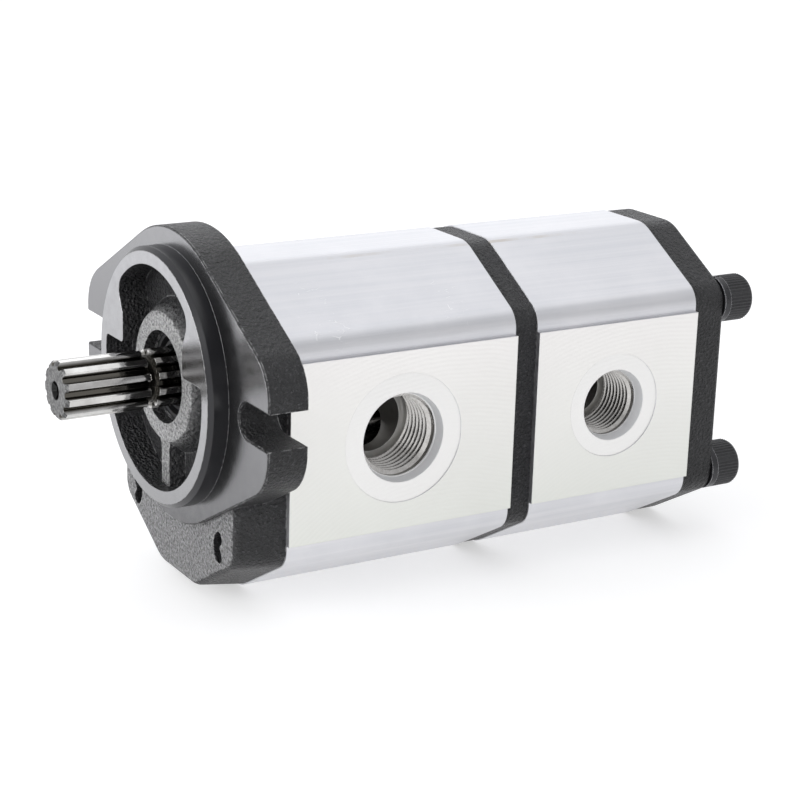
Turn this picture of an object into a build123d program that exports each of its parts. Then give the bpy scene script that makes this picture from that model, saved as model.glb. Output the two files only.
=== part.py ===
from build123d import *
from math import acos, cos, pi, radians, sin, sqrt, tan
import os

# Tandem hydraulic gear pump. Millimetres. The origin is the centre of the pilot on the
# mounting face, +X runs from the mounting face to the rear cover, the drive shaft points
# to -X, +Z is up and the two ports of the front side face -Y.

# ---- mounting flange and pilot, two-bolt standard size A
PILOT_R = 41.275
PILOT_HEIGHT = 6.4
PILOT_CHAMFER = 1.4
FLANGE_THICK = 13.0
FLANGE_R = 47.3
EAR_END = 66.6
EAR_CORNER_R = 15.8
EAR_CORNER_Z = 7.8
SLOT_Y = 53.2
SLOT_R = 5.6

# ---- recess inside the pilot
RECESS_R = 35.8
RECESS_FLOOR_X = 3.0
TONGUE_LOW_Z = 6.0
TONGUE_HIGH_Z = 15.5
TONGUE_Y = 22.2
TONGUE_ROOT = (26.3, 24.3)
TONGUE_FILLETS = (1.5, 2.0, 3.0, 6.0)
HUB_R = 20.5
HUB_ROUND = 1.4
SKIRT_ANGLE = 36.0
HUB_FACE_X = -3.0
HUB_BORE_R = 14.8
RIB_WIDTH = 5.5
RIB_FACE_X = -1.8
RIB_FILLET = 5.0
RIB_DRAFT = 20.0

# ---- stations along the axis
LOWER_FACE_X = 2.0
COVER_BACK_X = 18.9
FRONT_END_X = 100.5
PLATE_BACK_X = 108.9
REAR_END_X = 173.3
COVER_END_X = 186.3

# ---- body section, measured from the point midway between the gear axes
GEAR_CENTRES = 33.0
MID_Z = -GEAR_CENTRES / 2
BODY_HALF_Y = 43.5
BODY_HALF_Z = 53.4
BODY_SHOULDER = 35.2
BODY_FLAT = 12.4
SHOULDER_FILLET = 8.0
CROWN_FILLET = 13.0
CAST_INSET = 0.4
PAD_HALF_Y = 45.0
PAD_HALF_Z = 29.1
NOSE_HALF_Y = 40.9
NOSE_HALF_Z = 50.0
NOSE_SHOULDER = 34.0
NOSE_FLAT = 13.4
NOSE_ROUND = 2.6

# ---- cast openings in the lower face of the front cover
BEAN_Y = 32.9
BEAN_Z = -47.5
BEAN_ARC_R = 3.8
BEAN_WIDTH = 4.6
BEAN_ANGLE = 100.0
BEAN_DEPTH = 4.0

# ---- gears
TEETH = 12
MODULE = 2.75
PRESSURE_ANGLE = 25.0
TIP_R = 19.25
ROOT_R = 13.06
FLANK_RELIEF = 0.28
CAVITY_R = 19.30
FACE_GAP = 0.05
END_FLOAT = 0.10

# ---- shafts
JOURNAL_R = 10.0
SHAFT_END_X = -38.4
SPLINE_TEETH = 11
SPLINE_MODULE = 25.4 / 16
SPLINE_ANGLE = 30.0
SPLINE_TIP_R = 9.3
SPLINE_ROOT_R = 7.6
SPLINE_PHASE = 29.6
SPLINE_RUNOUT_X = 4.0
GROOVE_X = (-10.5, -7.7)
GROOVE_R = 7.5
END_CHAMFER = 1.2
CENTRE_HOLE_R = 2.3
COUPLING_X = (90.7, 118.7)
COUPLING_TEETH = 12
COUPLING_MODULE = 1.0
COUPLING_TIP_R = 6.5
COUPLING_ROOT_R = 5.4
SOCKET_GAP = 0.06
SOCKET_DEPTH = 10.4
PLATE_BORE_R = 9.0

# ---- bearing blocks, bushes and seals
BLOCK_LENGTH = 15.7
BLOCK_R = CAVITY_R - 0.03
BUSH_R = 11.5
BUSH_GAP = 0.03
SEAL_TRACK_R = 14.4
SEAL_WIDTH = 2.2
STRIP_WIDTH = 0.9
SEAL_DEPTH = 2.2
SECTION_SEAL_R = 23.6
SECTION_SEAL_WIDTH = 2.4
SECTION_GROOVE_WIDTH = 2.6
SECTION_SEAL_DEPTH = 2.0

# ---- shaft seal
SEAL_X = (1.5, 8.5)
SEAL_OUTER_R = 14.0
SEAL_LIP_R = JOURNAL_R + 0.02
THROAT_R = 11.0

# ---- fasteners and dowels
BOLT_Y = 35.5
BOLT_HALF_Z = 30.0
BOLT_R = 5.0
BOLT_CLEAR_R = 5.5
BOLT_TIP_X = 8.0
HEAD_R = 8.0
HEAD_HEIGHT = 10.0
HEAD_ROUND = 1.4
KNURLS = 44
KNURL_DEPTH = 0.28
SOCKET_FLATS = 8.0
SOCKET_HEX_DEPTH = 5.0
WASHER_R = 8.0
WASHER_BORE_R = 5.2
WASHER_THICK = 2.5
WASHER_GAP = 1.2
DOWEL_Y = 31.0
DOWEL_R = 3.0
DOWEL_HALF = 4.0

# ---- ports: x, side, thread radius, entry radius, spot face radius, throat radius
PORT_Z = -15.7
PORT_THREAD_END = 24.0
ENTRY_DEPTH = 3.3
ENTRY_TAPER = 0.9
SPOT_DEPTH = 0.3
FRONT_PORTS = (
    (59.1, -1, 13.49, 14.6, 21.1, 10.5),
    (59.1, +1, 16.67, 17.9, 24.5, 13.5),
)
REAR_PORTS = (
    (140.3, -1, 11.11, 12.1, 17.6, 8.5),
    (140.3, +1, 13.49, 14.6, 21.1, 10.5),
)


# ---------------------------------------------------------------- small helpers
def slab(face, x0, x1):
    """A face drawn in Y and Z, given thickness from x0 to x1."""
    return extrude(Plane.YZ.offset(x0) * face, amount=x1 - x0)


def disc(radius, y=0.0, z=0.0):
    return Pos(y, z) * Circle(radius)


def turned(points):
    """A solid of revolution about the shaft axis from (x, radius) corners."""
    return revolve(make_face(Polyline(*points, close=True)), axis=Axis.X)


def across(radius, x, z, y0, y1):
    """A cylinder along Y."""
    start = Plane(origin=(x, y0, z), z_dir=(0, 1 if y1 > y0 else -1, 0))
    return extrude(start * Circle(radius), amount=abs(y1 - y0))


def body_outline(half_y, half_z, shoulder, flat):
    """Eight-sided body section with rounded shoulders and crowns."""
    corners = [
        (half_y, -shoulder), (half_y, shoulder), (flat, half_z), (-flat, half_z),
        (-half_y, shoulder), (-half_y, -shoulder), (-flat, -half_z), (flat, -half_z),
    ]
    face = make_face(Polyline(*corners, close=True))
    outer = face.vertices().filter_by(lambda v: abs(v.X) > half_y - 1)
    face = fillet(outer, SHOULDER_FILLET)
    crown = face.vertices().filter_by(lambda v: abs(v.Y) > half_z - 0.01)
    face = fillet(crown, CROWN_FILLET)
    return Pos(0, MID_Z) * face


def cast_outline(inset=CAST_INSET):
    return body_outline(BODY_HALF_Y - inset, BODY_HALF_Z - inset,
                        BODY_SHOULDER - inset / 2, BODY_FLAT)


def gear_axes():
    return [(0, 0), (0, -GEAR_CENTRES)]


def figure_eight(radius):
    return disc(radius) + disc(radius, 0, -GEAR_CENTRES)


def stadium(radius):
    return Pos(0, MID_Z) * SlotCenterToCenter(GEAR_CENTRES, 2 * radius, rotation=90)


def bolt_points():
    return [(sy * BOLT_Y, MID_Z + sz * BOLT_HALF_Z) for sy in (-1, 1) for sz in (-1, 1)]


def bolt_cuts(x0, x1, radius=BOLT_CLEAR_R):
    return [slab(disc(radius, y, z), x0, x1) for y, z in bolt_points()]


def dowel_pins(x0, x1):
    return [slab(disc(DOWEL_R, sy * DOWEL_Y, MID_Z), x0, x1) for sy in (-1, 1)]


def section_groove(x0, x1):
    half = SECTION_GROOVE_WIDTH / 2
    return slab(stadium(SECTION_SEAL_R + half) - stadium(SECTION_SEAL_R - half), x0, x1)


# ---------------------------------------------------------------- toothed outlines
def involute(angle):
    return tan(angle) - angle


def polar(radius, angle):
    return (radius * cos(angle), radius * sin(angle))


def toothed(teeth, module, pressure, tip_r, root_r, relief=0.0, phase=0.0):
    """Outline of an external gear or spline: each tooth is two arcs for the flanks,
    one for the tip, and one for the root on to the next tooth. The relief, in degrees,
    thins both flanks."""
    base_r = teeth * module * cos(radians(pressure)) / 2
    low_r = max(root_r, base_r * 1.0005)
    mid_r = (low_r + tip_r) / 2

    def half_angle(radius):
        at_pitch = pi / (2 * teeth) + involute(radians(pressure))
        return at_pitch - involute(acos(min(1.0, base_r / radius))) - radians(relief)

    edges = []
    for n in range(teeth):
        centre = radians(phase) + 2 * pi * n / teeth
        following = centre + 2 * pi / teeth
        low, mid, high = half_angle(low_r), half_angle(mid_r), half_angle(tip_r)
        left = [polar(r, centre - a) for r, a in ((low_r, low), (mid_r, mid), (tip_r, high))]
        right = [polar(r, centre + a) for r, a in ((tip_r, high), (mid_r, mid), (low_r, low))]
        root_start, root_end = polar(root_r, centre + low), polar(root_r, following - low)
        edges.append(ThreePointArc(*left))
        edges.append(ThreePointArc(left[2], polar(tip_r, centre), right[0]))
        edges.append(ThreePointArc(*right))
        if low_r > root_r:
            edges.append(Line(right[2], root_start))
        edges.append(ThreePointArc(root_start, polar(root_r, centre + pi / teeth), root_end))
        if low_r > root_r:
            edges.append(Line(root_end, polar(low_r, following - low)))
    return make_face(Wire(edges))


def gear_face(phase):
    return toothed(TEETH, MODULE, PRESSURE_ANGLE, TIP_R, ROOT_R, FLANK_RELIEF, phase)


def coupling_face(gap=0.0):
    return toothed(COUPLING_TEETH, COUPLING_MODULE, SPLINE_ANGLE,
                   COUPLING_TIP_R + gap, COUPLING_ROOT_R + gap, -degrees_of(gap))


def degrees_of(gap):
    """The angle that opens a flank of the coupling spline by the gap."""
    return gap / (COUPLING_TEETH * COUPLING_MODULE / 2) * 180 / pi


# ---------------------------------------------------------------- front cover
def flange_outline():
    ear_y = EAR_END - EAR_CORNER_R
    rounds = [disc(FLANGE_R)]
    for sy in (-1, 1):
        for sz in (-1, 1):
            rounds.append(disc(EAR_CORNER_R, sy * ear_y, sz * EAR_CORNER_Z))
    hull = make_hull([edge for shape in rounds for edge in shape.edges()])
    for side in (-1, 1):
        hull -= disc(SLOT_R, side * SLOT_Y, 0)
        hull -= Pos(side * (SLOT_Y + 10), 0) * Rectangle(20, 2 * SLOT_R)
    return hull


def recess_outline():
    """The recess inside the pilot, narrowed by a tongue from each side."""
    face = disc(RECESS_R)
    for side in (-1, 1):
        corners = [
            (side * 45, TONGUE_LOW_Z), (side * TONGUE_Y, TONGUE_LOW_Z),
            (side * TONGUE_Y, TONGUE_HIGH_Z), (side * 29, 30), (side * 45, 40),
        ]
        face -= make_face(Polyline(*corners, close=True))
    return round_tongues(face)


def round_tongues(face):
    """Casting radii at the tip and at the root of each tongue, lower and upper."""
    root_low = (sqrt(RECESS_R**2 - TONGUE_LOW_Z**2), TONGUE_LOW_Z)
    corners = ((TONGUE_Y, TONGUE_LOW_Z), root_low, (TONGUE_Y, TONGUE_HIGH_Z), TONGUE_ROOT)
    for (y, z), radius in zip(corners, TONGUE_FILLETS):
        for side in (-1, 1):
            nearest = face.vertices().sort_by_distance((side * y, z))[0]
            face = fillet(nearest, radius)
    return face


def pilot_boss():
    boss = slab(disc(PILOT_R), -PILOT_HEIGHT, 0)
    rim = boss.edges().group_by(Axis.X)[0]
    return chamfer(rim, PILOT_CHAMFER)


def seal_hub():
    """Raised ring round the shaft bore, tied to the pilot wall by a vertical rib."""
    hub = flared(disc(HUB_R), HUB_FACE_X, SKIRT_ANGLE)
    hub = fillet(hub.edges().group_by(Axis.X)[0], HUB_ROUND)
    rib_top, rib_low = -(HUB_R - 2), -(RECESS_R + 0.5)
    rib = Pos(0, (rib_top + rib_low) / 2) * Rectangle(RIB_WIDTH, rib_top - rib_low)
    rib += disc(HUB_R)
    corners = [v for v in rib.vertices() if rib_low + 1 < v.Y < rib_top]
    return hub + flared(fillet(corners, RIB_FILLET), RIB_FACE_X, RIB_DRAFT)


def flared(face, x, angle):
    """A face at x that widens on its way down to the recess floor."""
    return extrude(Plane.YZ.offset(x) * face, amount=RECESS_FLOOR_X - x, taper=-angle)


def lower_body():
    """The cast body behind the flange, drafted towards its front face."""
    back = Plane.YZ.offset(COVER_BACK_X) * cast_outline()
    nose = Plane.YZ.offset(LOWER_FACE_X) * body_outline(
        NOSE_HALF_Y, NOSE_HALF_Z, NOSE_SHOULDER, NOSE_FLAT)
    body = loft([nose, back], ruled=True)
    return fillet(body.edges().group_by(Axis.X)[0], NOSE_ROUND)


def bean_cuts():
    """Two bean-shaped cast pockets, curved round the lower bolts."""
    cuts = []
    for side in (-1, 1):
        middle = 180 if side > 0 else 0
        arc = CenterArc((0, 0), BEAN_ARC_R, middle - BEAN_ANGLE / 2, BEAN_ANGLE)
        bean = trace(arc, BEAN_WIDTH)
        for end in (arc @ 0, arc @ 1):
            bean += disc(BEAN_WIDTH / 2, end.X, end.Y)
        cuts.append(slab(Pos(side * BEAN_Y, BEAN_Z) * bean, LOWER_FACE_X - 1,
                         LOWER_FACE_X + BEAN_DEPTH))
    return cuts


def make_front_cover():
    flange = slab(flange_outline(), 0, FLANGE_THICK)
    flange = chamfer(flange.edges().group_by(Axis.X)[0], 0.5)
    cover = flange + lower_body() + pilot_boss()
    cover -= slab(recess_outline(), -PILOT_HEIGHT - 1, RECESS_FLOOR_X)
    cover += seal_hub()
    cover -= slab(disc(HUB_BORE_R), HUB_FACE_X - 1, SEAL_X[0] - 0.5)
    cover -= slab(disc(SEAL_OUTER_R), SEAL_X[0] - 1, SEAL_X[1])
    cover -= slab(disc(THROAT_R), SEAL_X[1] - 1, COVER_BACK_X + 1)
    cover -= bean_cuts()
    cover -= bolt_cuts(BOLT_TIP_X - 1, COVER_BACK_X + 1, BOLT_R)
    cover -= dowel_pins(COVER_BACK_X - DOWEL_HALF, COVER_BACK_X + 1)
    cover -= section_groove(COVER_BACK_X - SECTION_SEAL_DEPTH, COVER_BACK_X + 1)
    return cover


# ---------------------------------------------------------------- housings and covers
def port_cuts(port):
    """Spot face, tapered seal entry, thread bore and throat of one port."""
    x, side, thread_r, entry_r, spot_r, throat_r = port
    face_y = side * PAD_HALF_Y
    seat_y = side * (PAD_HALF_Y - SPOT_DEPTH)
    cone_end_y = seat_y - side * ENTRY_DEPTH
    cone = loft([
        Plane(origin=(x, seat_y, PORT_Z), z_dir=(0, 1, 0)) * Circle(entry_r),
        Plane(origin=(x, cone_end_y, PORT_Z), z_dir=(0, 1, 0)) * Circle(entry_r - ENTRY_TAPER),
    ])
    return [
        across(spot_r, x, PORT_Z, face_y + side, seat_y),
        cone,
        across(thread_r, x, PORT_Z, seat_y, side * PORT_THREAD_END),
        across(throat_r, x, PORT_Z, side * (PORT_THREAD_END + 1), side * 6),
    ]


def make_housing(x0, x1, ports):
    body = slab(body_outline(BODY_HALF_Y, BODY_HALF_Z, BODY_SHOULDER, BODY_FLAT), x0, x1)
    body += slab(Pos(0, MID_Z) * Rectangle(2 * PAD_HALF_Y, 2 * PAD_HALF_Z), x0, x1)
    body -= slab(figure_eight(CAVITY_R), x0 - 1, x1 + 1)
    for port in ports:
        body -= port_cuts(port)
    body -= bolt_cuts(x0 - 1, x1 + 1)
    body -= dowel_pins(x0 - 1, x0 + DOWEL_HALF)
    body -= dowel_pins(x1 - DOWEL_HALF, x1 + 1)
    return body


def make_plate():
    plate = slab(cast_outline(), FRONT_END_X, PLATE_BACK_X)
    plate -= slab(disc(PLATE_BORE_R), FRONT_END_X - 1, PLATE_BACK_X + 1)
    plate -= bolt_cuts(FRONT_END_X - 1, PLATE_BACK_X + 1)
    plate -= dowel_pins(FRONT_END_X - 1, FRONT_END_X + DOWEL_HALF)
    plate -= dowel_pins(PLATE_BACK_X - DOWEL_HALF, PLATE_BACK_X + 1)
    plate -= section_groove(FRONT_END_X - 1, FRONT_END_X + SECTION_SEAL_DEPTH)
    plate -= section_groove(PLATE_BACK_X - SECTION_SEAL_DEPTH, PLATE_BACK_X + 1)
    return plate


def make_end_cover():
    cover = slab(cast_outline(), REAR_END_X, COVER_END_X)
    cover = fillet(cover.edges().group_by(Axis.X)[-1], 2.0)
    cover -= bolt_cuts(REAR_END_X - 1, COVER_END_X + 1)
    cover -= dowel_pins(REAR_END_X - 1, REAR_END_X + DOWEL_HALF)
    cover -= section_groove(REAR_END_X - 1, REAR_END_X + SECTION_SEAL_DEPTH)
    return cover


# ---------------------------------------------------------------- fasteners
def knurled_face():
    """Cross-section of a bolt head with a straight knurl."""
    points = []
    for n in range(KNURLS):
        points.append(polar(HEAD_R, 2 * pi * n / KNURLS))
        points.append(polar(HEAD_R - KNURL_DEPTH, 2 * pi * (n + 0.5) / KNURLS))
    return make_face(Polyline(*points, close=True))


def make_bolt(y, z):
    seat = COVER_END_X + WASHER_THICK
    head = slab(disc(HEAD_R - KNURL_DEPTH), seat, seat + HEAD_HEIGHT)
    head = fillet(head.edges().group_by(Axis.X)[-1], HEAD_ROUND)
    head -= slab(RegularPolygon(SOCKET_FLATS / 2, 6, major_radius=False),
                 seat + HEAD_HEIGHT - SOCKET_HEX_DEPTH, seat + HEAD_HEIGHT + 1)
    band = knurled_face() - disc(HEAD_R - 2 * KNURL_DEPTH)
    head += slab(band, seat, seat + HEAD_HEIGHT - HEAD_ROUND)
    shank = slab(disc(BOLT_R), BOLT_TIP_X, seat)
    shank = chamfer(shank.edges().group_by(Axis.X)[0], 0.8)
    return Pos(0, y, z) * (head + shank)


def make_washer(y, z):
    ring = disc(WASHER_R) - disc(WASHER_BORE_R)
    gap = Pos(0, (WASHER_R + WASHER_BORE_R) / 2) * Rotation(0, 0, 20) * Rectangle(
        WASHER_GAP, WASHER_R)
    return Pos(0, y, z) * slab(ring - gap, COVER_END_X, COVER_END_X + WASHER_THICK)


# ---------------------------------------------------------------- rotating pieces
def splined_end():
    """Splined drive end, chamfered, with its centre hole and ring groove."""
    face = toothed(SPLINE_TEETH, SPLINE_MODULE, SPLINE_ANGLE, SPLINE_TIP_R, SPLINE_ROOT_R,
                   phase=SPLINE_PHASE)
    end = slab(face, SHAFT_END_X, SPLINE_RUNOUT_X)
    envelope = slab(disc(SPLINE_TIP_R + 0.2), SHAFT_END_X, SPLINE_RUNOUT_X)
    end &= chamfer(envelope.edges().group_by(Axis.X)[0], END_CHAMFER)
    end -= slab(disc(SPLINE_TIP_R + 1) - disc(GROOVE_R), *GROOVE_X)
    return end - turned([(SHAFT_END_X - 1, 0), (SHAFT_END_X - 1, CENTRE_HOLE_R + 1),
                         (SHAFT_END_X + 1.5, CENTRE_HOLE_R), (SHAFT_END_X + 5, CENTRE_HOLE_R),
                         (SHAFT_END_X + 6.5, 0)])


def drive_socket(x0, x1):
    return slab(coupling_face(SOCKET_GAP), x0, x1)


def gear_span(x0, x1):
    """Start and end of the gear between the two blocks of a section."""
    trim = END_FLOAT + BLOCK_LENGTH + FACE_GAP
    return x0 + trim, x1 - trim


def gear_on_shaft(x0, x1, phase):
    """A gear with journals that stop short of the covers, on the drive shaft axis."""
    g0, g1 = gear_span(x0, x1)
    return slab(gear_face(phase), g0, g1) + slab(disc(JOURNAL_R), x0 + 0.5, x1 - 0.5)


def make_drive_shaft():
    shaft = gear_on_shaft(COVER_BACK_X, FRONT_END_X, 90)
    shaft += slab(disc(JOURNAL_R), SPLINE_RUNOUT_X, COVER_BACK_X + 1)
    shaft += splined_end()
    return shaft - drive_socket(FRONT_END_X - 0.5 - SOCKET_DEPTH, FRONT_END_X)


def make_rear_drive_gear():
    gear = gear_on_shaft(PLATE_BACK_X, REAR_END_X, 90)
    return gear - drive_socket(PLATE_BACK_X, PLATE_BACK_X + 0.5 + SOCKET_DEPTH)


def make_driven_gear(x0, x1):
    half_pitch = 180 / TEETH
    return Pos(0, 0, -GEAR_CENTRES) * gear_on_shaft(x0, x1, 90 + half_pitch)


def make_coupling():
    return chamfer_ends(slab(coupling_face(), *COUPLING_X), COUPLING_TIP_R)


def chamfer_ends(solid, radius):
    """Break both ends of a toothed shaft with a turned chamfer."""
    envelope = slab(disc(radius + 0.1), *COUPLING_X)
    ends = envelope.edges().group_by(Axis.X)
    return solid & chamfer(ends[0] + ends[-1], 0.6)


# ---------------------------------------------------------------- blocks and seals
def lobe_band(inner_r, outer_r):
    """Two C-shaped bands round the bush bores, open towards +Y."""
    bands = disc(outer_r) - disc(inner_r) - Pos(20, 6) * Rectangle(40, 60)
    upper = bands + slice_band(inner_r, outer_r, +1)
    lower = mirror(upper, Plane.XZ)
    return upper + Pos(0, -GEAR_CENTRES) * lower


def slice_band(inner_r, outer_r, side):
    """The short stretch of band beyond the top of the bore."""
    ring = disc(outer_r) - disc(inner_r)
    return ring & (Pos(3, side * (inner_r + 3)) * Rectangle(6.1, 8))


def seal_face():
    half = SEAL_WIDTH / 2
    bridge = Pos(0, MID_Z) * Rectangle(SEAL_WIDTH, 2 * (GEAR_CENTRES / 2 - SEAL_TRACK_R + half))
    return lobe_band(SEAL_TRACK_R - half, SEAL_TRACK_R + half) + bridge


def strip_face():
    outer = SEAL_TRACK_R - SEAL_WIDTH / 2
    return lobe_band(outer - STRIP_WIDTH, outer)


def make_block(x0, back_first):
    """Figure-eight bearing block with its bush bores and the seal track in its back."""
    x1 = x0 + BLOCK_LENGTH
    block = slab(figure_eight(BLOCK_R), x0, x1)
    for y, z in gear_axes():
        block -= slab(disc(BUSH_R, y, z), x0 - 1, x1 + 1)
    track = (x0, x0 + SEAL_DEPTH) if back_first else (x1 - SEAL_DEPTH, x1)
    return block - slab(seal_face() + strip_face(), *track)


def make_bushes(x0):
    ring = disc(BUSH_R) - disc(JOURNAL_R + BUSH_GAP)
    return [slab(Pos(y, z) * ring, x0, x0 + BLOCK_LENGTH) for y, z in gear_axes()]


def block_seal(face, x0, back_first):
    """Reaches from the bottom of the track to the cover behind the block."""
    x1 = x0 + BLOCK_LENGTH
    span = (x0 - END_FLOAT, x0 + SEAL_DEPTH) if back_first else (x1 - SEAL_DEPTH, x1 + END_FLOAT)
    return slab(face, *span)


def make_section_seal(x0, x1):
    half = SECTION_SEAL_WIDTH / 2
    return slab(stadium(SECTION_SEAL_R + half) - stadium(SECTION_SEAL_R - half), x0, x1)


def make_shaft_seal():
    x0, x1 = SEAL_X
    return turned([
        (x1, SEAL_OUTER_R), (x0, SEAL_OUTER_R), (x0, 12.8), (x1 - 2, 12.8), (x1 - 2, 11.6),
        (x0 + 0.8, 11.3), (x0 + 0.3, SEAL_LIP_R), (x0 + 1.8, SEAL_LIP_R), (x0 + 3.2, 10.7),
        (x1, 10.7),
    ])


# ---------------------------------------------------------------- the assembly
def block_stations():
    """Name, start and side of the back face of the four bearing blocks."""
    stations = []
    for section, x0, x1 in (("front", COVER_BACK_X, FRONT_END_X),
                            ("rear", PLATE_BACK_X, REAR_END_X)):
        stations.append((section, "fore", x0 + END_FLOAT, True))
        stations.append((section, "aft", x1 - END_FLOAT - BLOCK_LENGTH, False))
    return stations


def make_nodes():
    nodes = {
        "front_cover": make_front_cover(),
        "front_housing": make_housing(COVER_BACK_X, FRONT_END_X, FRONT_PORTS),
        "intermediate_plate": make_plate(),
        "rear_housing": make_housing(PLATE_BACK_X, REAR_END_X, REAR_PORTS),
        "end_cover": make_end_cover(),
        "through_bolts": [make_bolt(y, z) for y, z in bolt_points()],
        "lock_washers": [make_washer(y, z) for y, z in bolt_points()],
        "drive_shaft": make_drive_shaft(),
        "front_driven_gear": make_driven_gear(COVER_BACK_X, FRONT_END_X),
        "coupling_shaft": make_coupling(),
        "rear_drive_gear": make_rear_drive_gear(),
        "rear_driven_gear": make_driven_gear(PLATE_BACK_X, REAR_END_X),
        "shaft_seal": make_shaft_seal(),
    }
    for number, (section, end, x0, back_first) in enumerate(block_stations(), 1):
        nodes[f"{section}_block_{end}"] = make_block(x0, back_first)
        nodes[f"{section}_bushes_{end}"] = make_bushes(x0)
        nodes[f"pressure_seal_{number}"] = block_seal(seal_face(), x0, back_first)
        nodes[f"backup_strips_{number}"] = block_seal(strip_face(), x0, back_first)
    joints = ((COVER_BACK_X, -1), (FRONT_END_X, 1), (PLATE_BACK_X, -1), (REAR_END_X, 1))
    for number, (x, into) in enumerate(joints, 1):
        groove_end = x + into * SECTION_SEAL_DEPTH
        nodes[f"section_seal_{number}"] = make_section_seal(min(x, groove_end),
                                                            max(x, groove_end))
        nodes[f"dowels_{number}"] = dowel_pins(x - DOWEL_HALF, x + DOWEL_HALF)
    return nodes


def write_nodes():
    os.makedirs("parts", exist_ok=True)
    for name, shape in make_nodes().items():
        solids = []
        for piece in (shape if isinstance(shape, list) else [shape]):
            solids += piece.solids()
        export_step(solids[0] if len(solids) == 1 else Compound(children=solids),
                    f"parts/{name}.step")


write_nodes()
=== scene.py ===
import math

import bmesh
import bpy
from mathutils import Matrix, Vector


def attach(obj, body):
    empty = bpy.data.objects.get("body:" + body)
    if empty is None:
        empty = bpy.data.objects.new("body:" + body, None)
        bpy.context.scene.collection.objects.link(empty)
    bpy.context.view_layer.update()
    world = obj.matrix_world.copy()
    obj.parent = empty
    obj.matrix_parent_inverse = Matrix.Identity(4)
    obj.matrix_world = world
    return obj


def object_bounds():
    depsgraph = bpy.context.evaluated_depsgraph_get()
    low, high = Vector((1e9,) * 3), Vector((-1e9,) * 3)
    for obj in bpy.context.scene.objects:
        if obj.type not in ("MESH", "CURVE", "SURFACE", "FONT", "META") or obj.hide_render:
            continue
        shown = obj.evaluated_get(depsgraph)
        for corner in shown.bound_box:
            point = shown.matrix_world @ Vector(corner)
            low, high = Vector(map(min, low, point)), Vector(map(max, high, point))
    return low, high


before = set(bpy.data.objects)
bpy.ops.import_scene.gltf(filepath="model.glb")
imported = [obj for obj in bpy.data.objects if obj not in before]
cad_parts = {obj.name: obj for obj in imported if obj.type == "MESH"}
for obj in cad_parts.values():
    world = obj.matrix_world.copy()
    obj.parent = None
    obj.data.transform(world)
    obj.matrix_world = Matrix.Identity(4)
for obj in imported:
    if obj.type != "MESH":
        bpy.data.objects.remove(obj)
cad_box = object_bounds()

# A tandem hydraulic gear pump on a pale studio floor. Metres, in the frame of the CAD:
# origin at the centre of the pilot, +X to the rear cover, +Z up, ports towards -Y.

# ---- camera
LENS_MM = 93.07
SENSOR_MM = 36.0
CAMERA_AT = Vector((-0.26205, -0.56879, 0.18337))
LOOK = Vector((0.497842, 0.817071, -0.290772))
ROLL_DEG = 1.763

# ---- studio
FLOOR_HALF = 6.0
FLOOR_GLOW = 0.52
LIGHT_TARGET = (0.06, 0.0, -0.01)
NEUTRAL = (1, 1, 1)
COOL = (0.97, 0.985, 1.0)
SOFTBOXES = (  # name, place, width, height, watts, colour
    ("left_box", (-1.20, 0.30, 0.20), 1.0, 0.8, 20.0, NEUTRAL),
    ("back_box", (0.55, 1.25, 0.62), 1.3, 0.6, 2.1, COOL),
    ("top_box", (0.45, -0.25, 1.15), 1.5, 0.8, 1.7, COOL),
    ("port_box", (-0.45, -1.30, 0.30), 0.5, 0.4, 0.6, NEUTRAL),
)
WORLD_FRONT = (0.62, 0.62, 0.63, 1)
WORLD_BACK = (0.97, 0.975, 1.0, 1)
WORLD_BACK_FROM = 0.3
WORLD_STRENGTH = 0.92

# ---- front cover
PILOT_FACE_X = -0.0064
PILOT_MIDDLE_X = -0.0032
PILOT_HALF_LENGTH = 0.0031
PILOT_WALL_R = 0.0408
PILOT_WALL_REACH = 0.0008
LOW_FACE_X = 0.0020
LOW_FACE_REACH = 0.0006
LOW_FACE_INNER_R = 0.0412
RECESS_WALL_R = 0.0352
HUB_DEEPEST_X = 0.0003
HUB_FULL_X = -0.0022
HUB_FRONT_X = -0.0034
FACE_REACH = 0.0004
FLANGE_HALF_Z = 0.045

# ---- housings and ports
PORT_Z = -0.0157
PAD_FACE = 0.045
SKIN_REACH = 0.0005
TARNISH_Y = 0.0135
SCRATCH_Z = 0.0237
SCRATCH_PATCHES = ((0.0345, 0.0095), (0.0800, 0.0070))  # middle along X, half-width
INCH = 0.0254
PORTS = (  # name, x, side, thread radius, threads per inch, spot face radius
    ("front_port", 0.0591, -1, 0.01349, 12, 0.0211),
    ("front_inlet", 0.0591, 1, 0.01667, 12, 0.0245),
    ("rear_port", 0.1403, -1, 0.01111, 14, 0.0176),
    ("rear_inlet", 0.1403, 1, 0.01349, 12, 0.0211),
)
SPOT_REACH = 0.0001
BORE_REACH = 0.0012
THREAD_OUTER_Y = 0.0414
THREAD_INNER_Y = 0.0241
THREAD_STEPS = 72
THREAD_FADE_STEPS = 18
THREAD_DEPTH = 0.62
THREAD_ROOT_HALF = 0.46
THREAD_CREST_HALF = 0.11
THREAD_LEAST_RISE = 0.02
THREAD_BURIED = 0.0001

# ---- drive shaft
END_FACE_FROM_X = -0.0370
TOOTH_TOP_R = 0.0091
TOOTH_FLANK_R = 0.0083
# Radius of the painted shade in and around the centre hole of the shaft's end.
CENTRE_SHADE_R = 0.0031


# ---------------------------------------------------------------- camera, floor, lights
def add_camera():
    data = bpy.data.cameras.new("camera")
    data.lens = LENS_MM
    data.sensor_width = SENSOR_MM
    data.clip_start, data.clip_end = 0.05, 50.0
    camera = bpy.data.objects.new("camera", data)
    bpy.context.scene.collection.objects.link(camera)
    turn = LOOK.to_track_quat("-Z", "Y").to_matrix()
    roll = Matrix.Rotation(math.radians(ROLL_DEG), 3, "Z")
    camera.matrix_world = Matrix.Translation(CAMERA_AT) @ (turn @ roll).to_4x4()
    bpy.context.scene.camera = camera


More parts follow.
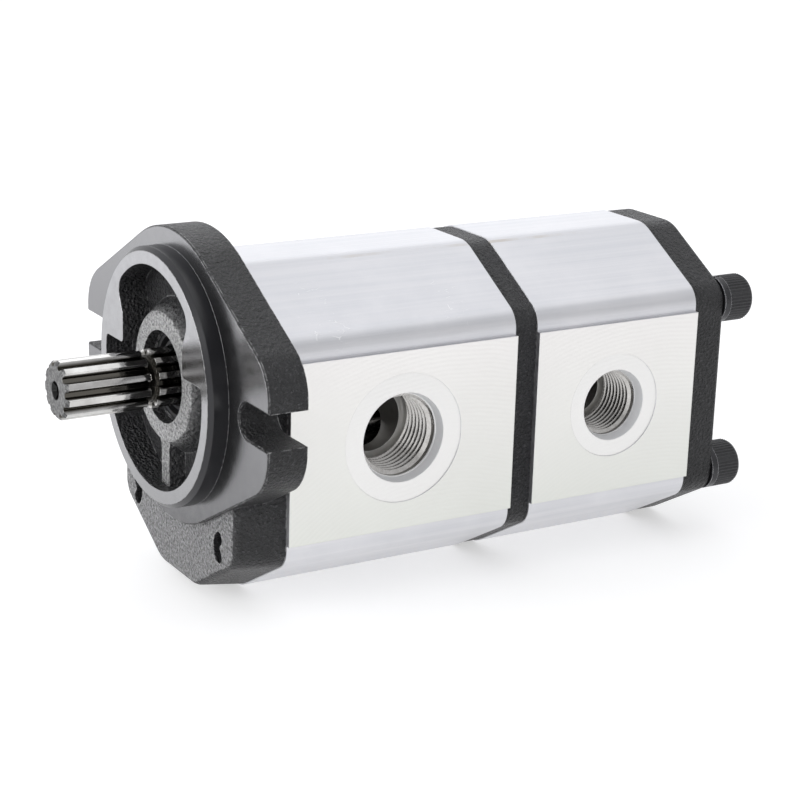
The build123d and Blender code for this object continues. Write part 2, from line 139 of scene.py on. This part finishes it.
def add_floor(low_z):
    mesh = bpy.data.meshes.new("floor")
    shape = bmesh.new()
    corners = [shape.verts.new((x * FLOOR_HALF, y * FLOOR_HALF, 0))
               for x, y in ((-1, -1), (1, -1), (1, 1), (-1, 1))]
    shape.faces.new(corners)
    shape.to_mesh(mesh)
    shape.free()
    floor = bpy.data.objects.new("floor", mesh)
    floor.location = (0, 0, low_z)
    bpy.context.scene.collection.objects.link(floor)
    floor.data.materials.append(floor_material())


def add_softbox(name, at, width, height, power, colour):
    data = bpy.data.lights.new(name, "AREA")
    data.shape = "RECTANGLE"
    data.size, data.size_y = width, height
    data.energy = power
    data.color = colour
    light = bpy.data.objects.new(name, data)
    light.location = at
    aim = Vector(LIGHT_TARGET) - Vector(at)
    light.rotation_euler = aim.to_track_quat("-Z", "Y").to_euler()
    bpy.context.scene.collection.objects.link(light)


def add_studio():
    for softbox in SOFTBOXES:
        add_softbox(*softbox)
    add_world()


def add_world():
    """A pale surround, a little darker on the port side."""
    world = bpy.data.worlds.new("studio")
    bpy.context.scene.world = world
    world.use_nodes = True
    tree = world.node_tree
    shade = tree.nodes["Background"]
    where = tree.nodes.new("ShaderNodeTexCoord")
    split = tree.nodes.new("ShaderNodeSeparateXYZ")
    scale = tree.nodes.new("ShaderNodeMapRange")
    scale.inputs["From Min"].default_value = -1.0
    scale.inputs["From Max"].default_value = WORLD_BACK_FROM
    ramp = tree.nodes.new("ShaderNodeValToRGB")
    ramp.color_ramp.elements[0].color = WORLD_FRONT
    ramp.color_ramp.elements[1].color = WORLD_BACK
    tree.links.new(where.outputs["Generated"], split.inputs[0])
    tree.links.new(split.outputs["Y"], scale.inputs["Value"])
    tree.links.new(scale.outputs[0], ramp.inputs[0])
    tree.links.new(ramp.outputs[0], shade.inputs["Color"])
    shade.inputs["Strength"].default_value = WORLD_STRENGTH


# ---------------------------------------------------------------- material kit
class Paint:
    """One procedural material. Every lookup works in the object's own coordinates."""

    def __init__(self, name):
        self.material = bpy.data.materials.new(name)
        self.material.use_nodes = True
        self.tree = self.material.node_tree
        self.shader = self.tree.nodes["Principled BSDF"]
        self.where = self.add("ShaderNodeTexCoord").outputs["Object"]
        self.heights = []

    def add(self, kind, **settings):
        node = self.tree.nodes.new(kind)
        for key, value in settings.items():
            setattr(node, key, value)
        return node

    def feed(self, socket, value):
        if isinstance(value, bpy.types.NodeSocket):
            self.tree.links.new(value, socket)
        else:
            socket.default_value = value

    def math(self, operation, *values, clamp=False):
        node = self.add("ShaderNodeMath", operation=operation, use_clamp=clamp)
        for socket, value in zip(node.inputs, values):
            self.feed(socket, value)
        return node.outputs[0]

    def stretched(self, scale):
        node = self.add("ShaderNodeMapping")
        self.feed(node.inputs["Vector"], self.where)
        node.inputs["Scale"].default_value = scale
        return node.outputs[0]

    def noise(self, scale, detail=2.0, rough=0.5, stretch=None, seed=0.0):
        """Cloudy noise from zero to one, with about scale features in a metre."""
        node = self.add("ShaderNodeTexNoise", noise_dimensions="4D")
        self.feed(node.inputs["Vector"], self.stretched(stretch) if stretch else self.where)
        node.inputs["W"].default_value = seed
        node.inputs["Scale"].default_value = scale
        node.inputs["Detail"].default_value = detail
        node.inputs["Roughness"].default_value = rough
        return node.outputs["Fac"]

    def cells(self, scale, feature="F1", stretch=None):
        """Distance to the middles or edges of cells, about scale of them in a metre."""
        node = self.add("ShaderNodeTexVoronoi", feature=feature)
        self.feed(node.inputs["Vector"], self.stretched(stretch) if stretch else self.where)
        node.inputs["Scale"].default_value = scale
        return node.outputs["Distance"]

    def ramp(self, value, low, high, to_low=0.0, to_high=1.0):
        """Goes from to_low to to_high as the value goes from low to high."""
        node = self.add("ShaderNodeMapRange", clamp=True)
        self.feed(node.inputs["Value"], value)
        node.inputs["From Min"].default_value = low
        node.inputs["From Max"].default_value = high
        node.inputs["To Min"].default_value = to_low
        node.inputs["To Max"].default_value = to_high
        return node.outputs[0]

    def blend(self, factor, first, second):
        node = self.add("ShaderNodeMix", data_type="RGBA")
        self.feed(node.inputs["Factor"], factor)
        for socket, value in ((node.inputs[6], first), (node.inputs[7], second)):
            if not isinstance(value, bpy.types.NodeSocket) and len(value) == 3:
                value = (*value, 1.0)
            self.feed(socket, value)
        return node.outputs[2]

    def mix(self, factor, first, second):
        node = self.add("ShaderNodeMix", data_type="FLOAT")
        self.feed(node.inputs["Factor"], factor)
        self.feed(node.inputs[2], first)
        self.feed(node.inputs[3], second)
        return node.outputs[0]

    def axis(self, letter):
        node = self.add("ShaderNodeSeparateXYZ")
        self.feed(node.inputs[0], self.where)
        return node.outputs[letter]

    def facing(self, letter):
        node = self.add("ShaderNodeSeparateXYZ")
        self.feed(node.inputs[0], self.add("ShaderNodeNewGeometry").outputs["True Normal"])
        return node.outputs[letter]

    def both(self, first, second):
        """Where two masks overlap."""
        return self.math("MULTIPLY", first, second)

    def either(self, first, second):
        return self.math("ADD", first, second, clamp=True)

    def beyond(self, mask):
        """Everywhere that a mask isn't."""
        return self.math("SUBTRACT", 1.0, mask)

    def from_axis(self):
        """Distance from the shaft's axis."""
        return self.distance(self.axis("Y"), self.axis("Z"), 0.0, 0.0)

    def near(self, value, centre, half):
        """One where the value is within half of centre, otherwise zero."""
        return self.math("COMPARE", value, centre, half)

    def distance(self, first, second, at_first, at_second):
        """Distance in the plane of two coordinates from a point."""
        a = self.math("SUBTRACT", first, at_first)
        b = self.math("SUBTRACT", second, at_second)
        return self.math("SQRT", self.math("ADD", self.math("MULTIPLY", a, a),
                                           self.math("MULTIPLY", b, b)))

    def edges(self, radius):
        """Rises from zero on flat ground to one on an outer or inner edge."""
        bevel = self.add("ShaderNodeBevel", samples=4)
        bevel.inputs["Radius"].default_value = radius
        dot = self.add("ShaderNodeVectorMath", operation="DOT_PRODUCT")
        self.feed(dot.inputs[0], bevel.outputs[0])
        self.feed(dot.inputs[1], self.add("ShaderNodeNewGeometry").outputs["True Normal"])
        return self.ramp(dot.outputs["Value"], 0.995, 0.80)

    def bump(self, height, strength, depth):
        """Keeps one layer of relief for finish, its depth in metres."""
        self.heights.append((height, strength, depth))

    def finish(self, round_edges=0.0):
        normal = None
        if round_edges:
            bevel = self.add("ShaderNodeBevel", samples=4)
            bevel.inputs["Radius"].default_value = round_edges
            normal = bevel.outputs[0]
        for height, strength, depth in self.heights:
            node = self.add("ShaderNodeBump")
            self.feed(node.inputs["Height"], height)
            self.feed(node.inputs["Strength"], strength)
            node.inputs["Distance"].default_value = depth
            if normal is not None:
                self.feed(node.inputs["Normal"], normal)
            normal = node.outputs[0]
        if normal is not None:
            self.feed(self.shader.inputs["Normal"], normal)
        return self.material

    def surface(self, colour=None, metal=None, rough=None):
        for key, value in (("Base Color", colour), ("Metallic", metal), ("Roughness", rough)):
            if value is None:
                continue
            if key == "Base Color" and not isinstance(value, bpy.types.NodeSocket):
                value = (*value, 1.0)
            self.feed(self.shader.inputs[key], value)


def floor_material():
    paint = Paint("studio_floor")
    tone = paint.ramp(paint.noise(3.0, 3.0), 0.3, 0.7)
    paint.surface(paint.blend(tone, (0.56, 0.56, 0.565), (0.60, 0.60, 0.605)), 0.0, 0.7)
    paint.shader.inputs["Emission Color"].default_value = (1.0, 1.0, 1.0, 1.0)
    paint.shader.inputs["Emission Strength"].default_value = FLOOR_GLOW
    return paint.finish()


# ---------------------------------------------------------------- casting
def cast_layers(paint):
    """Black satin paint over sand-cast iron: colour, roughness, grain and pits."""
    black, dark, dusty = (0.006, 0.006, 0.007), (0.014, 0.014, 0.016), (0.11, 0.11, 0.116)
    broad = paint.noise(60.0, 3.0, 0.6)
    grain = paint.noise(1000.0, 4.0, 0.68)
    pits = paint.cells(850.0)
    colour = paint.blend(paint.ramp(broad, 0.35, 0.65), black, dark)
    colour = paint.blend(paint.ramp(grain, 0.55, 0.70, 0.0, 0.8), colour, dusty)
    rough = paint.ramp(grain, 0.3, 0.7, 0.26, 0.44)
    return colour, rough, grain, pits


def worn_edges(paint, radius, patch_scale, low, high):
    """Edges, only where patches of noise say that the paint has gone."""
    patches = paint.ramp(paint.noise(patch_scale, 3.0), low, high)
    return paint.math("MULTIPLY", paint.edges(radius), patches, clamp=True)


def cast_material():
    paint = Paint("cast_paint")
    colour, rough, grain, pits = cast_layers(paint)
    wear = worn_edges(paint, 0.0007, 420.0, 0.5, 0.66)
    paint.surface(paint.blend(wear, colour, (0.38, 0.38, 0.385)), 0.0, rough)
    paint.bump(grain, 1.0, 0.0024)
    paint.bump(pits, 0.6, 0.0012)
    return paint.finish(round_edges=0.0007)


def cover_zones(paint, from_axis):
    """Masks for the flange face, pilot face, hub with its rib, lower face and pilot wall."""
    x = paint.axis("X")
    forward = paint.math("LESS_THAN", paint.facing("X"), -0.9)
    flange = paint.both(forward, paint.near(x, 0.0, FACE_REACH))
    pilot = paint.both(forward, paint.near(x, PILOT_FACE_X, FACE_REACH))
    raised = paint.ramp(x, HUB_DEEPEST_X, HUB_FULL_X)
    raised = paint.both(raised, paint.math("LESS_THAN", from_axis, RECESS_WALL_R))
    raised = paint.both(raised, paint.math("GREATER_THAN", x, HUB_FRONT_X))
    hub = paint.both(paint.ramp(paint.facing("X"), -0.45, -0.80), raised)
    low_face = paint.both(forward, paint.near(x, LOW_FACE_X, LOW_FACE_REACH))
    low_face = paint.both(low_face, paint.math("GREATER_THAN", from_axis, LOW_FACE_INNER_R))
    wall = paint.both(paint.near(from_axis, PILOT_WALL_R, PILOT_WALL_REACH),
                      paint.near(x, PILOT_MIDDLE_X, PILOT_HALF_LENGTH))
    wall = paint.both(wall, paint.beyond(forward))
    return flange, pilot, hub, low_face, wall


def faced_iron(paint, pilot, drift):
    """Bare machined iron with a painted reflection, darker towards the bottom and lighter towards the
    top, lighter on the pilot's face, with dull smears.
    """
    # Painted reflection: the flange and pilot faces run from dark at the bottom to lighter at the top.
    height = paint.ramp(paint.axis("Z"), -FLANGE_HALF_Z, FLANGE_HALF_Z)
    pilot_face = paint.blend(height, (0.27, 0.27, 0.275), (0.44, 0.44, 0.455))
    flange_face = paint.blend(height, (0.10, 0.10, 0.104), (0.29, 0.29, 0.30))
    smears = paint.ramp(drift, 0.3, 0.7, 0.0, 0.35)
    return paint.blend(smears, paint.blend(pilot, flange_face, pilot_face), (0.24, 0.24, 0.245))


def front_cover_material():
    """Cast paint, with the flange face and pilot face machined to bare iron, a painted reflection on
    these faces, and painted sheen on the hub and lower face.
    """
    paint = Paint("front_cover_paint")
    colour, rough, grain, pits = cast_layers(paint)
    from_axis = paint.from_axis()
    flange, pilot, hub, low_face, wall = cover_zones(paint, from_axis)
    faced = paint.either(flange, pilot)
    smooth = paint.either(faced, wall)
    drift = paint.noise(260.0, 4.0, 0.6)
    rings = paint.math("SINE", paint.math("MULTIPLY", from_axis, 18000.0))

    # Painted sheen: the forward-facing parts of the hub and rib are made lighter, standing in for light
    # caught from the left.
    rubbed_and_sheen = paint.blend(paint.ramp(grain, 0.35, 0.6), (0.12, 0.12, 0.12), (0.50, 0.50, 0.50))
    # Painted sheen: the lower face, which faces the left light, is lightened in a speckle that follows
    # the grain.
    low_face_sheen = paint.blend(paint.ramp(grain, 0.40, 0.62), (0.028, 0.028, 0.030), (0.33, 0.33, 0.335))
    colour = paint.blend(faced, colour, faced_iron(paint, pilot, drift))
    colour = paint.blend(hub, colour, rubbed_and_sheen)
    colour = paint.blend(low_face, colour, low_face_sheen)
    colour = paint.blend(wall, colour, (0.006, 0.006, 0.008))
    chipped = paint.both(worn_edges(paint, 0.0006, 500.0, 0.44, 0.56), paint.beyond(smooth))
    colour = paint.blend(chipped, colour, (0.60, 0.60, 0.605))

    metal = paint.either(faced, paint.math("MULTIPLY", hub, 0.8))
    rough = paint.mix(faced, rough, paint.ramp(drift, 0.3, 0.7, 0.16, 0.24))
    rough = paint.mix(hub, rough, 0.45)
    rough = paint.mix(wall, rough, 0.28)
    paint.surface(colour, metal, rough)
    paint.bump(grain, paint.mix(smooth, 1.0, 0.004), 0.0024)
    paint.bump(pits, paint.mix(smooth, 0.60, 0.0), 0.0012)
    paint.bump(rings, paint.mix(smooth, 0.0, 0.05), 0.00005)
    return paint.finish(round_edges=0.0004)


# ---------------------------------------------------------------- aluminium
def port_zones(paint, ports):
    """Masks for port seats, bores and entry cones, and the distance from the port's middle."""
    x, y, z = (paint.axis(letter) for letter in "XYZ")
    outside = paint.math("GREATER_THAN", paint.math("ABSOLUTE", y), THREAD_OUTER_Y - SKIN_REACH)
    seat, bore, cone = 0.0, 0.0, 0.0
    reach = 1.0
    for _, port_x, port_side, thread_r, _, spot_r in ports:
        there = paint.math("GREATER_THAN", paint.math("MULTIPLY", y, port_side), 0.0)
        out = paint.distance(x, z, port_x, PORT_Z)
        here = paint.both(there, paint.math("LESS_THAN", out, spot_r + SPOT_REACH))
        hole = paint.both(there, paint.math("LESS_THAN", out, thread_r + BORE_REACH))
        seat = paint.either(seat, here)
        bore = paint.either(bore, hole)
        cone = paint.either(cone, paint.both(hole, outside))
        reach = paint.mix(there, reach, out)
    return seat, bore, cone, reach


def extruded_skin(paint, lines, scratches):
    """Drawn aluminium with paler patches, tarnish beside the top flat, and scratches."""
    y, z = paint.axis("Y"), paint.axis("Z")
    patches = paint.noise(38.0, 4.0, 0.6, seed=7.0)
    skin = paint.blend(paint.ramp(lines, 0.35, 0.66), (0.635, 0.64, 0.665), (0.72, 0.72, 0.74))
    skin = paint.blend(paint.ramp(patches, 0.45, 0.7, 0.0, 0.4), skin, (0.79, 0.785, 0.80))
    tarnish = paint.near(paint.math("ABSOLUTE", y), TARNISH_Y, 0.0007)
    tarnish = paint.both(tarnish, paint.ramp(patches, 0.44, 0.60, 0.0, 0.5))
    tarnish = paint.both(tarnish, paint.math("GREATER_THAN", z, 0.0))
    skin = paint.blend(tarnish, skin, (0.50, 0.44, 0.36))
    return paint.blend(scratches, skin, (0.93, 0.93, 0.94))


def milled_face(paint, sweep, drift):
    """Pale milled aluminium with painted light, darker and cooler towards the bottom and lighter and
    warmer towards the top, with faint cutter marks.
    """
    # Painted light: the milled face is darker and cooler low down, lighter and warmer high up.
    wavering = paint.math("ADD", paint.axis("Z"), paint.math("MULTIPLY", drift, 0.012))
    height = paint.ramp(wavering, -0.040, 0.020)
    cut = paint.blend(height, (0.745, 0.755, 0.715), (0.86, 0.845, 0.83))
    return paint.blend(paint.ramp(sweep, 0.0, 1.0, 0.0, 0.07), cut, (0.88, 0.875, 0.86))


def housing_material(name, ports):
    """Extruded skin, milled port faces, turned port seats and bores with pale entry cones."""
    paint = Paint(name)
    side = paint.math("GREATER_THAN", paint.math("ABSOLUTE", paint.facing("Y")), 0.98)
    proud = paint.math("GREATER_THAN", paint.math("ABSOLUTE", paint.axis("Y")), PAD_FACE - SKIN_REACH)
    milled = paint.both(side, proud)
    seat, inside, cone, reach = port_zones(paint, ports)
    seat = paint.both(seat, side)
    inside = paint.both(inside, paint.beyond(side))
    cone = paint.both(cone, inside)
    lines = paint.noise(420.0, 3.0, 0.6, stretch=(0.012, 1.0, 1.0))
    fine = paint.noise(2600.0, 2.0, 0.5, stretch=(0.01, 1.0, 1.0), seed=3.0)
    drift = paint.noise(25.0, 3.0, 0.5, seed=11.0)
    scratches = scratch_mask(paint)
    sweep = cutter_marks(paint, ports[0][1])

    colour = paint.blend(milled, extruded_skin(paint, lines, scratches), milled_face(paint, sweep, drift))
    colour = paint.blend(seat, colour, (0.795, 0.79, 0.775))
    colour = paint.blend(inside, colour, (0.42, 0.41, 0.39))
    colour = paint.blend(cone, colour, (0.90, 0.905, 0.915))
    rough = paint.ramp(lines, 0.3, 0.7, 0.40, 0.50)
    rough = paint.mix(milled, rough, paint.ramp(drift, 0.3, 0.7, 0.40, 0.50))
    rough = paint.mix(seat, rough, 0.34)
    rough = paint.mix(inside, rough, 0.45)
    rough = paint.mix(cone, rough, 0.38)
    paint.surface(colour, paint.mix(cone, 1.0, 0.3), rough)

    drawn = paint.both(paint.beyond(paint.either(milled, inside)), paint.beyond(seat))
    turned = paint.math("SINE", paint.math("MULTIPLY", reach, 26000.0))
    for height, zone, strength, depth in (
            (lines, drawn, 0.18, 0.0003), (fine, drawn, 0.25, 0.0001),
            (scratches, drawn, 0.35, 0.0002), (sweep, milled, 0.06, 0.0002),
            (turned, seat, 0.10, 0.00005)):
        paint.bump(height, paint.math("MULTIPLY", zone, strength), depth)
    return paint.finish(round_edges=0.0003)


def cutter_marks(paint, port_x):
    """Wide shallow arcs left by a face cutter, centred well below the port."""
    out = paint.distance(paint.axis("X"), paint.axis("Z"), port_x + 0.015, -0.105)
    wobble = paint.math("MULTIPLY", paint.noise(90.0, 2.0, seed=5.0), 0.0015)
    return paint.math("SINE", paint.math("MULTIPLY", paint.math("ADD", out, wobble), 4300.0))


def scratch_mask(paint):
    """Short bright handling marks in two patches on the slope above the front port."""
    x, y, z = (paint.axis(letter) for letter in "XYZ")
    where = 0.0
    for middle_x, half in SCRATCH_PATCHES:
        away = paint.distance(x, z, middle_x, SCRATCH_Z)
        where = paint.either(where, paint.ramp(away, half, 0.6 * half))
    where = paint.both(where, paint.math("LESS_THAN", y, 0.0))
    along = paint.ramp(paint.cells(330.0, "DISTANCE_TO_EDGE", stretch=(0.4, 1.0, 1.0)), 0.035, 0.0)
    chance = paint.ramp(paint.noise(420.0, 2.0, seed=23.0), 0.52, 0.60)
    return paint.math("MULTIPLY", paint.both(where, along), chance, clamp=True)


def thread_material():
    """Cut aluminium, slightly uneven in tone."""
    paint = Paint("cut_thread")
    drift = paint.noise(700.0, 3.0)
    colour = paint.blend(paint.ramp(drift, 0.3, 0.7), (0.46, 0.445, 0.425), (0.62, 0.61, 0.59))
    paint.surface(colour, 1.0, paint.ramp(drift, 0.3, 0.7, 0.20, 0.32))
    paint.bump(drift, 0.08, 0.00003)
    return paint.finish()


# ---------------------------------------------------------------- steel and the rest
def shaft_material():
    """Steel with lengthwise marks, dark between the teeth, a dark faced end, and painted shade in and
    around the centre hole.
    """
    paint = Paint("spline_steel")
    drawn = paint.noise(1500.0, 3.0, 0.6, stretch=(0.02, 1.0, 1.0))
    stains = paint.noise(120.0, 4.0, 0.6, seed=2.0)
    speckle = paint.noise(1100.0, 4.0, 0.7, seed=9.0)
    from_axis = paint.from_axis()
    end_face = paint.both(paint.math("LESS_THAN", paint.axis("X"), END_FACE_FROM_X),
                          paint.math("LESS_THAN", paint.facing("X"), -0.5))
    colour = paint.blend(paint.ramp(stains, 0.35, 0.7), (0.52, 0.51, 0.495), (0.72, 0.715, 0.70))
    # Darker between the teeth, by distance from the axis.
    between_teeth = paint.ramp(from_axis, TOOTH_TOP_R, TOOTH_FLANK_R)
    colour = paint.blend(between_teeth, colour, (0.085, 0.080, 0.070))
    faced = paint.blend(paint.ramp(speckle, 0.42, 0.6), (0.05, 0.05, 0.05), (0.19, 0.19, 0.19))
    colour = paint.blend(end_face, colour, faced)
    # Painted shade: near-black in the centre hole and in a ring around it.
    hole_shade = paint.math("LESS_THAN", from_axis, CENTRE_SHADE_R)
    colour = paint.blend(hole_shade, colour, (0.03, 0.03, 0.03))
    rough = paint.mix(end_face, paint.ramp(drawn, 0.3, 0.7, 0.05, 0.11), 0.42)
    paint.surface(colour, 1.0, rough)
    paint.bump(drawn, 0.06, 0.00006)
    paint.bump(paint.noise(1400.0, 3.0, seed=4.0), paint.mix(end_face, 0.0, 0.25), 0.0001)
    return paint.finish(round_edges=0.00025)


def washer_material():
    """Darkened spring steel, rubbed bright along its edges."""
    paint = Paint("washer_steel")
    speckle = paint.noise(900.0, 3.0, 0.6)
    rubbed_and_sheen = paint.math("MULTIPLY", paint.edges(0.0004), paint.ramp(speckle, 0.3, 0.5), clamp=True)
    paint.surface(paint.blend(rubbed_and_sheen, (0.03, 0.03, 0.033), (0.55, 0.55, 0.57)),
                  paint.mix(rubbed_and_sheen, 0.4, 1.0), paint.ramp(speckle, 0.3, 0.7, 0.25, 0.4))
    paint.bump(speckle, 0.15, 0.0001)
    return paint.finish(round_edges=0.0003)


def plain_metal(name, dark, light, rough_low, rough_high):
    """Fine-grained bare metal, for the inner pieces."""
    paint = Paint(name)
    speckle = paint.noise(900.0, 4.0, 0.6)
    paint.surface(paint.blend(paint.ramp(speckle, 0.3, 0.7), dark, light), 1.0,
                  paint.ramp(speckle, 0.3, 0.7, rough_low, rough_high))
    paint.bump(speckle, 0.2, 0.0001)
    return paint.finish(round_edges=0.0003)


def oxide_material():
    """Black oxide finish, slightly speckled, on the screws."""
    paint = Paint("black_oxide")
    speckle = paint.noise(1300.0, 3.0, 0.6)
    black, dark = (0.010, 0.010, 0.012), (0.030, 0.030, 0.032)
    colour = paint.blend(paint.ramp(speckle, 0.35, 0.7), black, dark)
    paint.surface(colour, 0.2, paint.ramp(speckle, 0.3, 0.7, 0.30, 0.42))
    paint.bump(speckle, 0.2, 0.0001)
    return paint.finish(round_edges=0.0004)


def soft_material(name, dark, light, rough):
    """Rubber or plastic with a matt grain, for the seals and strips."""
    paint = Paint(name)
    speckle = paint.noise(700.0, 3.0)
    paint.surface(paint.blend(speckle, dark, light), 0.0, rough)
    paint.bump(speckle, 0.2, 0.0001)
    return paint.finish(round_edges=0.0002)


def dress(material, *nodes):
    """Gives CAD nodes a material, and changes nothing else about them."""
    for name in nodes:
        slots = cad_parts[name].data.materials
        slots.clear()
        slots.append(material)


def dress_nodes():
    dress(front_cover_material(), "front_cover")
    dress(cast_material(), "intermediate_plate", "end_cover")
    dress(housing_material("front_housing_skin", PORTS[:2]), "front_housing")
    dress(housing_material("rear_housing_skin", PORTS[2:]), "rear_housing")
    dress(shaft_material(), "drive_shaft")
    dress(oxide_material(), "through_bolts")
    numbers = range(1, 5)
    dress(washer_material(), "lock_washers", *(f"dowels_{n}" for n in numbers))
    dress(plain_metal("gear_steel", (0.42, 0.42, 0.42), (0.55, 0.55, 0.55), 0.18, 0.3),
          "front_driven_gear", "coupling_shaft", "rear_drive_gear", "rear_driven_gear")
    ends = [f"{section}_{{}}_{end}" for section in ("front", "rear") for end in ("fore", "aft")]
    dress(plain_metal("block_aluminium", (0.5, 0.5, 0.51), (0.62, 0.62, 0.63), 0.3, 0.45),
          *(end.format("block") for end in ends))
    dress(plain_metal("bush_bronze", (0.42, 0.30, 0.16), (0.55, 0.42, 0.25), 0.3, 0.45),
          *(end.format("bushes") for end in ends))
    dress(soft_material("seal_rubber", (0.012, 0.012, 0.013), (0.03, 0.03, 0.032), 0.5),
          "shaft_seal", *(f"pressure_seal_{n}" for n in numbers),
          *(f"section_seal_{n}" for n in numbers))
    dress(soft_material("strip_plastic", (0.62, 0.58, 0.48), (0.72, 0.68, 0.58), 0.45),
          *(f"backup_strips_{n}" for n in numbers))


# ---------------------------------------------------------------- threads
def add_thread(name, port_x, side, major_r, per_inch, material):
    """A closed helical ridge that lines one port bore, tapering out at both ends."""
    pitch = INCH / per_inch
    buried_r = major_r + THREAD_BURIED
    minor_r = major_r - THREAD_DEPTH * pitch
    root, crest = THREAD_ROOT_HALF * pitch, THREAD_CREST_HALF * pitch
    turns = (THREAD_OUTER_Y - THREAD_INNER_Y) / pitch - 1.0
    count = int(turns * THREAD_STEPS)
    shape = bmesh.new()
    rings = []
    for n in range(count + 1):
        angle = 2 * math.pi * n / THREAD_STEPS
        y = THREAD_OUTER_Y - 0.5 * pitch - pitch * n / THREAD_STEPS
        rise = min(1.0, n / THREAD_FADE_STEPS, (count - n) / THREAD_FADE_STEPS)
        top_r = buried_r + (minor_r - buried_r) * max(rise, THREAD_LEAST_RISE)
        profile = ((buried_r, root), (top_r, crest), (top_r, -crest), (buried_r, -root))
        rings.append([
            shape.verts.new((port_x + r * math.cos(angle), side * (y + dy),
                             PORT_Z + r * math.sin(angle)))
            for r, dy in profile])
    for first, second in zip(rings, rings[1:]):
        for k in range(4):
            shape.faces.new((first[k], first[(k + 1) % 4], second[(k + 1) % 4], second[k]))
    shape.faces.new(rings[0])
    shape.faces.new(rings[-1][::-1])
    bmesh.ops.recalc_face_normals(shape, faces=shape.faces)
    piece = to_piece(name, shape, material)
    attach(piece, "casing")


def to_piece(name, shape, material):
    mesh = bpy.data.meshes.new(name)
    shape.to_mesh(mesh)
    shape.free()
    piece = bpy.data.objects.new(name, mesh)
    bpy.context.scene.collection.objects.link(piece)
    mesh.materials.append(material)
    return piece


def add_threads():
    material = thread_material()
    for name, x, side, radius, per_inch, _ in PORTS:
        add_thread(f"{name}_thread", x, side, radius, per_inch, material)


add_camera()
bpy.context.scene.view_settings.view_transform = "Standard"
add_floor(float(cad_box[0][2]))
add_studio()
dress_nodes()
add_threads()
